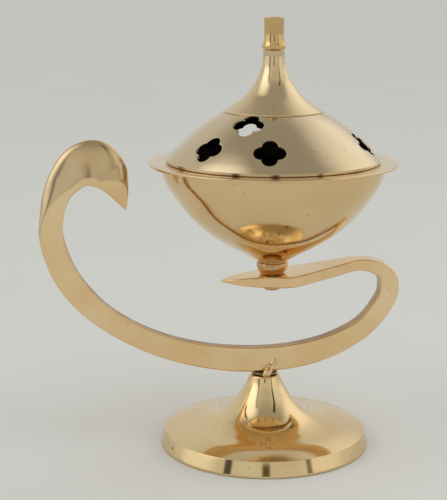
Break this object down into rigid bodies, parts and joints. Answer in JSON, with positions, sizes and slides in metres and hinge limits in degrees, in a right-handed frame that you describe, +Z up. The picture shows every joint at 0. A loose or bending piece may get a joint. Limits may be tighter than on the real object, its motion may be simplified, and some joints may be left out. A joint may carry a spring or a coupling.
{
  "type": "table incense burner",
  "caption": "Polished brass table incense burner: flared foot, S-shaped handle with thumb leaf, flanged bowl and pierced lift-off lid with spire.",
  "frame": {"origin": "under the middle of the whole object's box, on the surface it stands on", "axes": "+Z up along the bowl and lid's line; the handle lies in the XZ plane with its thumb leaf towards -X"},
  "size_m": [0.1492, 0.102, 0.1784],
  "materials": {
    "foot_brass": "polished, fine turning lines",
    "handle_brass": "polished casting",
    "bowl_brass": "polished, fine turning lines",
    "lid_brass": "polished, paler from lacquer, fine turning lines",
    "collar_brass": "polished turned fittings",
    "steel_fixings": "plain fixings",
    "solder": "dull solder"
  },
  "bodies": {
    "stand": {"foot_shell": "foot_brass", "foot_solder_seat": "solder", "foot_screw": "steel_fixings", "foot_washer": "steel_fixings", "handle": "handle_brass", "bowl_collar": "collar_brass", "bowl_stud": "collar_brass", "bowl_washer": "steel_fixings", "bowl_nut": "steel_fixings", "bowl": "bowl_brass"},
    "lid": {"lid_dome": "lid_brass", "lid_locating_ring": "lid_brass", "spire": "lid_brass", "finial": "collar_brass", "finial_rod": "steel_fixings", "lid_washer": "steel_fixings", "lid_nut": "steel_fixings"}
  },
  "joints": [
    {"name": "lid_lift", "type": "slide", "parent": "stand", "child": "lid", "axis": [0, 0, 1], "range_m": [0, 0.06]}
  ]
}
